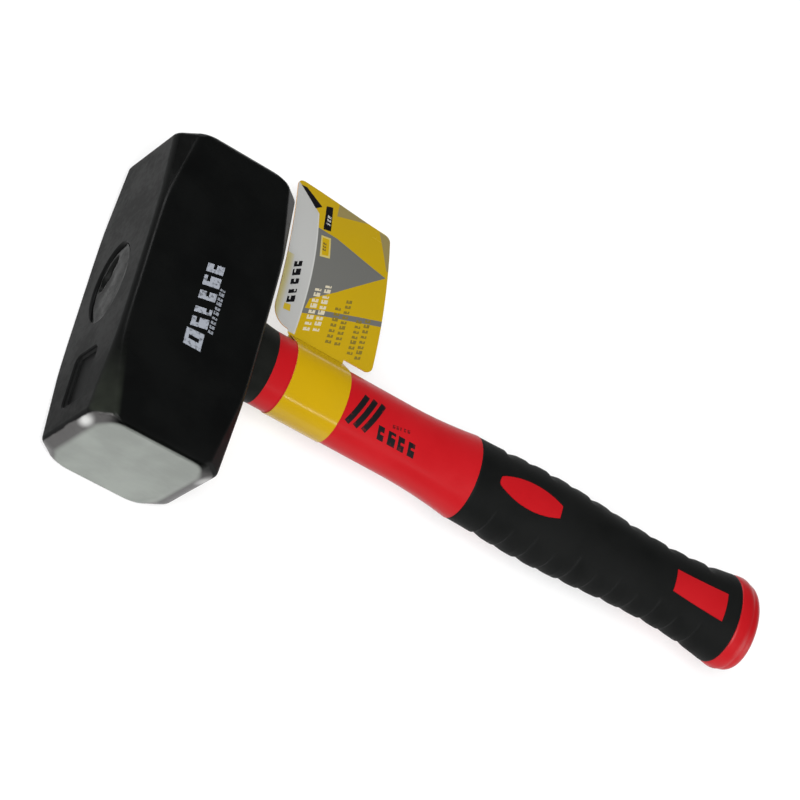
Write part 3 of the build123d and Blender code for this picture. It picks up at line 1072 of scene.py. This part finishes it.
def rubberMaterial():
    material, tree, shader = newMaterial("gripRubber", (0.006, 0.0066, 0.0062, 1), 0.6,
                                         Specular_IOR_Level=0.07)
    point = objectPoint(tree)
    grain = useGroup(tree, mouldGrain, Point=point, Grain=2600.0, Patch=55.0)
    rubs = useGroup(tree, handling, Point=point, Scale=60.0, Amount=0.5).outputs["Mask"]
    plug(tree, shader.inputs["Base Color"], blendColour(tree, grain.outputs["Shade"],
         (0.0042, 0.0047, 0.0045, 1), (0.0064, 0.0068, 0.0066, 1)))
    plug(tree, shader.inputs["Roughness"], calc(tree, "SUBTRACT", ramp(
         tree, grain.outputs["Gloss"], 0.0, 1.0, 0.52, 0.66), calc(tree, "MULTIPLY", rubs, 0.1)))
    bump(tree, shader, grain.outputs["Height"], 0.5, 0.07 * mm)
    return material


def makeGrip():
    material = rubberMaterial()
    piece = bpy.data.objects.new("softGrip", bpy.data.meshes.new("softGrip"))
    bpy.context.scene.collection.objects.link(piece)
    modifier = piece.modifiers.new("skin", "NODES")
    modifier.node_group = gripTree(material)
    for item in modifier.node_group.interface.items_tree:
        if item.in_out == "INPUT":
            modifier[item.identifier] = gripForm[item.name]
    bakeDown(piece)
    coverWith(piece, material)
    work = bmesh.new()
    work.from_mesh(piece.data)
    bmesh.ops.remove_doubles(work, verts=work.verts, dist=0.002 * mm)
    bmesh.ops.recalc_face_normals(work, faces=work.faces)
    work.to_mesh(piece.data)
    work.free()
    cutWith(piece, landPrisms(landForm["clearance"]))
    evenShading(piece, 50)
    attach(piece, "root")
    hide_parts("grip_sleeve")


makeGrip()
makeLands()
print("grip made")


capForm = {
    "ratio": 0.74,
    "front": 17.2 * mm,
    "peak": 17.75 * mm,
    "peakAt": 3.6 * mm,
    "rear": 17.0 * mm,
    "edge": 4.3 * mm,
    "lip": 0.25 * mm,
    "spigotWide": 12.0 * mm,
    "spigotHigh": 8.4 * mm,
    "spigot": 11.5 * mm,
    "crown": 0.86,                 # the end's round is this much flatter than the edge
    "flatWide": 3 * mm,
    "flatHigh": 2 * mm,
    "lead": 0.1 * mm,
    "segments": 128,
}


def capOval(x, wide, high):
    return ovalRing(x, wide, high, capForm["segments"])


def capRing(x, half, inset=0.0):
    return capOval(x, half - inset, half * capForm["ratio"] - inset)


def makeCap():
    # a flared red end cap with a soft rim, held by a plug inside the grip
    form = capForm
    start, end = gripHigh.x, capEnd
    rings = [capOval(start - form["spigot"], form["spigotWide"], form["spigotHigh"]),
             capOval(start, form["spigotWide"], form["spigotHigh"]),
             capRing(start, form["front"], form["lip"] * 2)]
    for i in range(9):
        t = i / 8
        swell = form["front"] + (form["peak"] - form["front"]) * math.sin(math.pi / 2 * t)
        rings.append(capRing(start + form["lead"] + (form["peakAt"] - form["lead"]) * t, swell,
                             form["lip"] * max(0.0, 1 - t * 6)))
    peakX, turnX = start + form["peakAt"], end - form["edge"]
    for i in range(1, 5):
        t = i / 4
        half = form["peak"] + (form["rear"] - form["peak"]) * t * t
        rings.append(capRing(peakX + (turnX - peakX) * t, half))
    for i in range(1, 13):
        angle = math.radians(90 * i / 12)
        rings.append(capRing(turnX + form["edge"] * math.sin(angle), form["rear"],
                             form["edge"] * form["crown"] * (1 - math.cos(angle))))
    rings.append(capOval(end, form["flatWide"], form["flatHigh"]))
    piece = meshPiece("buttCap", *loft(rings), [redPlastic("redCap", False)])
    piece.data.set_sharp_from_angle(angle=math.radians(40))
    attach(piece, "root")
    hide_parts("butt_cap")


makeCap()
print("cap made")


labelForm = {
    "start": 41.6 * mm,
    "end": 62.8 * mm,
    "neckWide": 13.55 * mm,
    "neckHigh": 10.05 * mm,
    "film": 0.25 * mm,
    "sheet": 0.5 * mm,
    "rootY": 15.4 * mm,
    "bottom": 17.8 * mm,
    "frontTop": 75.6 * mm,
    "rearTop": 73.2 * mm,
    "frontBottomX": 33.4 * mm,
    "frontTopX": 31.0 * mm,
    "rearBottomX": 74.0 * mm,
    "rearTopX": 70.2 * mm,
    "largeRadius": 7.0 * mm,
    "smallRadius": 2.5 * mm,
    "rootRise": -0.4 * mm,
    "crownRise": 0.8 * mm,
    "tipRise": -4.2 * mm,
    "archStart": 13.5 * mm,
    "sink": 0.3 * mm,
    "ripple": 0.45 * mm,
    "rippleLength": 9.5 * mm,
    "tipBeyond": 1.2 * mm,         # the band's two ends meet this far inside the flag
    "leave": 32,                   # where the film leaves the neck, in degrees from the side
    "cell": 1.6 * mm,
    "across": 10,
}


def flagHeight(x, y):
    # the middle of the flag: a low arch that droops at its far edge, with a slow ripple
    form = labelForm
    t = (y - form["archStart"]) / (form["frontTop"] - form["archStart"])
    low, middle, high = form["rootRise"], form["crownRise"], form["tipRise"]
    bend = 2 * (low + high - 2 * middle)
    arch = low + (high - low - bend) * t + bend * t * t
    wave = math.sin((x - form["start"]) / form["rippleLength"] + 2.2 * t) * form["ripple"]
    return axisZ + arch - form["sink"] + wave * min(1.0, max(0.0, t * 1.6 - 0.1))


def roundedCorner(before, corner, after, radius, steps=8):
    middle = Vector(corner)
    toBefore, toAfter = ((Vector(end) - middle).normalized() for end in (before, after))
    half = toBefore.angle(toAfter) / 2
    centre = middle + (toBefore + toAfter).normalized() * radius / math.sin(half)
    first = middle + toBefore * radius / math.tan(half) - centre
    last = middle + toAfter * radius / math.tan(half) - centre
    sweep = first.angle_signed(last)
    return [tuple(centre + Matrix.Rotation(-sweep * i / steps, 2) @ first) for i in range(steps + 1)]


def flagOutline():
    form = labelForm
    frontRoot, rearRoot = (form["start"], form["bottom"]), (form["end"], form["bottom"])
    corners = [rearRoot, (form["rearBottomX"], form["bottom"]), (form["rearTopX"], form["rearTop"]),
               (form["frontTopX"], form["frontTop"]), (form["frontBottomX"], form["bottom"]), frontRoot]
    outline = [(form["start"], form["rootY"]), (form["end"], form["rootY"]), rearRoot]
    for i in range(1, 4):
        outline += roundedCorner(*corners[i - 1:i + 2], form["smallRadius"])
    outline += roundedCorner(*corners[3:], form["largeRadius"], 14)
    outline.append(frontRoot)
    return outline


def flagMesh():
    form = labelForm
    work = bmesh.new()
    corners = [work.verts.new((x, y, 0)) for x, y in flagOutline()]
    work.faces.new(corners)
    bmesh.ops.triangulate(work, faces=work.faces[:])
    spans = ((0, form["frontTopX"], form["rearBottomX"]), (1, form["rootY"], form["frontTop"]))
    for axis, low, high in spans:
        cuts = int((high - low) / form["cell"])
        for i in range(1, cuts + 1):
            place, normal = [0, 0, 0], [0, 0, 0]
            place[axis], normal[axis] = low + (high - low) * i / (cuts + 1), 1
            bmesh.ops.bisect_plane(work, geom=work.verts[:] + work.edges[:] + work.faces[:],
                                   plane_co=place, plane_no=normal)
    bmesh.ops.dissolve_limit(work, angle_limit=0.01, use_dissolve_boundaries=False,
                             verts=[], edges=[])
    for vert in work.verts:
        vert.co.z = flagHeight(vert.co.x, vert.co.y)
    mesh = bpy.data.meshes.new("flag")
    work.to_mesh(mesh)
    work.free()
    return mesh


def bandSection():
    # round the neck and out to a point where the two ends of the film meet
    form = labelForm
    wide, high = form["neckWide"] + form["film"] / 2, form["neckHigh"] + form["film"] / 2
    tipY = form["rootY"] + form["tipBeyond"]
    tipZ = form["rootRise"] - form["sink"]
    section = []
    for i in range(73):
        angle = math.radians(form["leave"] + (360 - 2 * form["leave"]) * i / 72)
        section.append((wide * math.cos(angle), high * math.sin(angle)))
    for side, (endY, endZ) in ((-1, section[-1]), (1, section[0])):
        restZ = tipZ + side * form["sheet"] * 0.55
        lap = [(endY + (tipY - endY) * i / 8, endZ + (restZ - endZ) * i / 8) for i in range(1, 9)]
        section = section + lap if side < 0 else lap[::-1] + section
    return section


def labelMaterial():
    # printed film: a grey sweep, a dark triangle, bars and rows of small blocks on yellow
    yellow = (0.44, 0.272, 0.003, 1)
    # painted shade: the flag's yellow is a darker copy of the band's
    shadedFlagYellow = (0.41, 0.27, 0.006, 1)
    sweepGrey = (0.37, 0.372, 0.362, 1)
    darkGrey = (0.118, 0.118, 0.11, 1)
    black = (0.005, 0.005, 0.006, 1)
    paleInk = (0.5, 0.45, 0.33, 1)
    darkInk = (0.17, 0.125, 0.02, 1)
    material, tree, shader = newMaterial("printedFilm", yellow, 0.2, Specular_IOR_Level=0.3)
    point = objectPoint(tree)
    x, y = splitPoint(tree, point)[:2]
    soft = 0.1 * mm

    def shape(*corners):
        return insidePolygon(tree, x, y, [(px * mm, py * mm) for px, py in corners], soft)

    def row(corner, along, across, blocks, slant=0.0, seed=0.0):
        scaled = [tuple(v * mm for v in pair) for pair in (corner, along, across)]
        return rowMask(tree, x, y, *scaled, blocks, slant, seed)

    def either(*masks):
        return fold(tree, "MAXIMUM", *masks)

    grain = useGroup(tree, mouldGrain, Point=point, Grain=1200.0, Patch=50.0)
    # painted shade: the flag takes the darker copy of the yellow
    flagShadeMask = ramp(tree, y, 15.6 * mm, 16.6 * mm)
    colour = blendColour(tree, flagShadeMask, yellow, shadedFlagYellow)
    faint = ramp(tree, grain.outputs["Shade"], 0.0, 1.0, 0.0, 0.12)
    colour = blendColour(tree, faint, colour, (0.3, 0.2, 0.01, 1))
    # painted shade in the crease where the flag leaves the band
    creaseShade = insideBand(tree, y, 14.6 * mm, 16.2 * mm, 0.5 * mm)
    colour = blendColour(tree, calc(tree, "MULTIPLY", creaseShade, 0.35), colour, (0.2, 0.12, 0.004, 1))
    # the dark triangle, its trailing leg, the stripe and the slivers at the far edge
    triangle = either(shape((40.0, 30.0), (43.2, 30.6), (53.6, 39.3), (49.0, 59.2), (40.0, 59.4)),
                      shape((53.2, 39.0), (70.6, 55.2), (48.8, 59.3), (48.0, 44.0)))
    leg = shape((41.0, 26.2), (43.4, 26.0), (44.4, 32.0), (41.0, 32.0))
    stripe = shape((42.6, 25.2), (73.6, 36.2), (73.2, 38.2), (42.6, 27.2))
    sliver = shape((47.8, 68.6), (62.0, 74.2), (60.4, 76.0), (48.4, 76.0))
    wedge = shape((65.6, 73.2), (70.4, 58.2), (75.0, 58.2), (75.0, 73.2))
    colour = blendColour(tree, either(triangle, leg, stripe), colour, darkGrey)
    colour = blendColour(tree, calc(tree, "MULTIPLY", either(sliver, wedge), 0.75), colour,
                         (0.17, 0.155, 0.09, 1))
    # the pale sweep beside the front edge, bounded by a slow curve
    share = calc(tree, "DIVIDE", calc(tree, "SUBTRACT", y, 17.9 * mm), 50.0 * mm)
    bulge = calc(tree, "MULTIPLY", calc(tree, "SINE", calc(tree, "MULTIPLY", share, 3.3)), 0.9 * mm)
    edge = calc(tree, "ADD", calc(tree, "MULTIPLY_ADD", share, -2.5 * mm, 43.0 * mm), bulge)
    slope = calc(tree, "MULTIPLY_ADD", x, 0.695, calc(tree, "MULTIPLY", y, 0.718))
    far = ramp(tree, slope, 75.0 * mm - soft, 75.0 * mm + soft, 1.0, 0.0)
    sweep = fold(tree, "MULTIPLY", ramp(tree, calc(tree, "SUBTRACT", edge, x), -soft, soft),
                 ramp(tree, y, 16.9 * mm, 17.1 * mm), far)
    colour = blendColour(tree, sweep, colour, sweepGrey)
    # a thin pale line along the sweep
    rim = insideBand(tree, calc(tree, "SUBTRACT", edge, x), 0.0, 0.5 * mm, soft)
    colour = blendColour(tree, fold(tree, "MULTIPLY", rim, sweep, 0.5), colour, (0.5, 0.5, 0.48, 1))
    tint = shape((29.0, 17.0), (37.0, 17.0), (36.0, 30.0), (35.0, 44.0), (29.0, 44.0))
    fade = ramp(tree, calc(tree, "MULTIPLY_ADD", y, 0.02, x), 33.8 * mm, 36.8 * mm, 0.75, 0.0)
    colour = blendColour(tree, calc(tree, "MULTIPLY", tint, fade), colour, (0.36, 0.3, 0.06, 1))
    # bars near the far edge
    bar = shape((39.0, 66.5), (41.5, 68.7), (34.6, 73.4), (32.3, 73.2))
    tag = shape((43.2, 59.8), (46.2, 60.6), (45.8, 71.3), (43.1, 70.2))
    tagMark = row((44.1, 62.6), (0.1, 4.4), (1.5, 0.0), 3.0, 0.0, 4.0)
    box = shape((43.9, 48.6), (47.8, 49.8), (46.7, 57.8), (42.9, 57.0))
    boxInner = shape((44.5, 49.5), (47.1, 50.4), (46.2, 57.0), (43.5, 56.4))
    boxMark = row((44.4, 51.4), (-0.3, 3.6), (1.3, 0.1), 3.0, 0.0, 8.0)
    colour = blendColour(tree, either(bar, tag), colour, black)
    colour = blendColour(tree, tagMark, colour, sweepGrey)
    colour = blendColour(tree, box, colour, (0.45, 0.37, 0.12, 1))
    colour = blendColour(tree, boxInner, colour, shadedFlagYellow)
    colour = blendColour(tree, boxMark, colour, (0.12, 0.085, 0.02, 1))
    # heavy row on the sweep, with a small square before it
    heavy = row((39.4, 27.4), (-0.4, 17.0), (-2.9, -0.2), 5.0, 0.1, 3.0)
    colour = blendColour(tree, heavy, colour, black)
    emblem = shape((36.2, 23.4), (38.9, 23.6), (38.5, 26.0), (36.1, 25.6))
    colour = blendColour(tree, emblem, colour, (0.42, 0.3, 0.02, 1))
    # pale rows, then dark rows
    rows = (((47.6, 20.6), 17.6, -2.3, 8.0, 11.0, paleInk), ((51.0, 22.2), 19.0, -2.3, 9.0, 12.0, paleInk),
            ((56.4, 20.4), 14.8, -2.1, 7.0, 21.0, darkInk), ((59.8, 21.4), 18.4, -2.1, 9.0, 22.0, darkInk),
            ((65.2, 20.6), 14.2, -2.1, 7.0, 23.0, darkInk), ((68.4, 20.4), 16.4, -2.1, 8.0, 24.0, darkInk))
    for corner, length, high, blocks, seed, ink in rows:
        mask = row(corner, (0.0, length), (high, 0.0), blocks, 0.05, seed)
        colour = blendColour(tree, mask, colour, ink)
    plug(tree, shader.inputs["Base Color"], colour)
    rubs = useGroup(tree, handling, Point=point, Scale=90.0, Amount=0.8).outputs["Mask"]
    plug(tree, shader.inputs["Roughness"], calc(tree, "MULTIPLY_ADD", rubs, 0.2,
         ramp(tree, grain.outputs["Gloss"], 0.0, 1.0, 0.14, 0.24)))
    bump(tree, shader, noise(tree, point, 60.0, 1.0), 0.3, 0.25 * mm)
    return material


def filmEdgeMaterial():
    material, tree, shader = newMaterial("filmEdge", (0.62, 0.3, 0.05, 1), 0.4)
    point = objectPoint(tree)
    grain = useGroup(tree, mouldGrain, Point=point, Grain=2400.0, Patch=300.0)
    plug(tree, shader.inputs["Base Color"], blendColour(tree, grain.outputs["Shade"],
         (0.5, 0.2, 0.02, 1), (0.72, 0.4, 0.12, 1)))
    plug(tree, shader.inputs["Roughness"], ramp(tree, grain.outputs["Gloss"], 0.0, 1.0, 0.34, 0.5))
    return material


def thicken(piece, thickness):
    modifier = piece.modifiers.new("film", "SOLIDIFY")
    modifier.thickness = thickness
    modifier.offset = 0
    modifier.material_offset_rim = 1
    bakeDown(piece)


def makeLabel():
    form = labelForm
    materials = [labelMaterial(), filmEdgeMaterial()]
    section = bandSection()
    rings = []
    for i in range(form["across"] + 1):
        x = form["start"] + (form["end"] - form["start"]) * i / form["across"]
        rings.append([(x, y, axisZ + z) for y, z in section])
    count = len(section)
    faces = [(r * count + i, r * count + i + 1, (r + 1) * count + i + 1, (r + 1) * count + i)
             for r in range(form["across"]) for i in range(count - 1)]
    band = meshPiece("labelBand", [p for ring in rings for p in ring], faces, materials)
    thicken(band, form["film"])
    flag = bpy.data.objects.new("labelFlag", flagMesh())
    bpy.context.scene.collection.objects.link(flag)
    for material in materials:
        flag.data.materials.append(material)
    thicken(flag, form["sheet"])
    for piece in (band, flag):
        evenShading(piece, 50)
        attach(piece, "root")
    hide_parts("flag_label")


makeLabel()
print("label made")


def makeFloor():
    size = 8.0
    material, tree, shader = newMaterial("paleFloor", (0.4, 0.4, 0.4, 1), 0.7, Specular_IOR_Level=0.1,
                                         Emission_Color=(1, 1, 1, 1), Emission_Strength=0.6)
    plug(tree, shader.inputs["Base Color"], blendColour(tree, noise(tree, objectPoint(tree), 6.0),
         (0.39, 0.39, 0.39, 1), (0.41, 0.41, 0.41, 1)))
    floor = meshPiece("floor", [(-size, -size, 0), (size, -size, 0), (size, size, 0), (-size, size, 0)],
                      [(0, 1, 2, 3)], [material], smooth=False)


def makeWorld():
    # bright low down on the viewer's side, dim overhead
    world = bpy.data.worlds.new("studio")
    bpy.context.scene.world = world
    world.use_nodes = True
    tree = world.node_tree
    tree.nodes.clear()
    direction = splitPoint(tree, addNode(tree, "ShaderNodeTexCoord").outputs["Generated"])
    level = ramp(tree, direction[2], 0.08, 0.55, 0.45, 0.1)
    level = calc(tree, "MULTIPLY", level, ramp(tree, direction[1], -0.1, 0.8, 1.0, 0.3))
    background = addNode(tree, "ShaderNodeBackground", {"Color": (1, 1, 1, 1), "Strength": level})
    output = addNode(tree, "ShaderNodeOutputWorld")
    tree.links.new(background.outputs[0], output.inputs[0])


# name: direction from the hammer, distance, width and height, watts
softboxes = {
    "key": ((-0.30, -0.44, 0.85), 1.25, (0.6, 0.6), 17.5),
    "facet": ((-0.64, 0.53, 0.54), 1.1, (0.3, 0.3), 3.6),
    "corner": ((-0.73, -0.64, 0.27), 1.0, (0.2, 0.16), 1.3),
    "glint": ((0.41, -0.63, 0.66), 1.0, (0.22, 0.03), 0.4),
    "right": ((0.9, -0.3, 0.3), 1.15, (0.6, 0.45), 4.0),
    "back": ((-0.15, 0.95, 0.3), 1.15, (0.6, 0.35), 2.5),
}
lightShift = -40 * mm              # the lights aim a little towards the head


def makeLights():
    middle = Vector(((cadBox[0][0] + cadBox[1][0]) / 2 + lightShift, 0.0, axisZ))
    for name, (direction, distance, size, power) in softboxes.items():
        light = bpy.data.lights.new(name, "AREA")
        light.shape = "RECTANGLE"
        light.size, light.size_y = size
        light.energy = power
        lamp = bpy.data.objects.new(name, light)
        toward = Vector(direction).normalized()
        aim = (-toward).to_track_quat("-Z", "Y").to_matrix().to_4x4()
        lamp.matrix_world = Matrix.Translation(middle + toward * distance) @ aim
        bpy.context.scene.collection.objects.link(lamp)


cameraForm = {
    "azimuth": -39.521,
    "elevation": 49.585,
    "roll": 61.32,
    "distance": 906.16 * mm,
    "right": -7.882 * mm,
    "up": 17.914 * mm,
    "target": (100 * mm, 0.0, 22 * mm),
    "lens": 123.08,
    "sensor": 36.0,
}


def makeCamera():
    form = cameraForm
    azimuth, elevation, roll = (math.radians(form[key]) for key in ("azimuth", "elevation", "roll"))
    back = Vector((math.sin(azimuth) * math.cos(elevation), -math.cos(azimuth) * math.cos(elevation),
                   math.sin(elevation)))
    level = Vector((math.cos(azimuth), math.sin(azimuth), 0))
    upright = back.cross(level)
    right = level * math.cos(roll) + upright * math.sin(roll)
    up = upright * math.cos(roll) - level * math.sin(roll)
    place = Vector(form["target"]) + back * form["distance"] + right * form["right"] + up * form["up"]
    data = bpy.data.cameras.new("camera")
    data.lens = form["lens"]
    data.sensor_width = form["sensor"]
    data.clip_start = 0.02
    data.clip_end = 20
    camera = bpy.data.objects.new("camera", data)
    turn = Matrix((right, up, back)).transposed().to_4x4()
    camera.matrix_world = Matrix.Translation(place) @ turn
    bpy.context.scene.collection.objects.link(camera)
    bpy.context.scene.camera = camera


makeFloor()
makeWorld()
makeLights()
makeCamera()
bpy.context.scene.view_settings.view_transform = "Standard"
print("stage made")
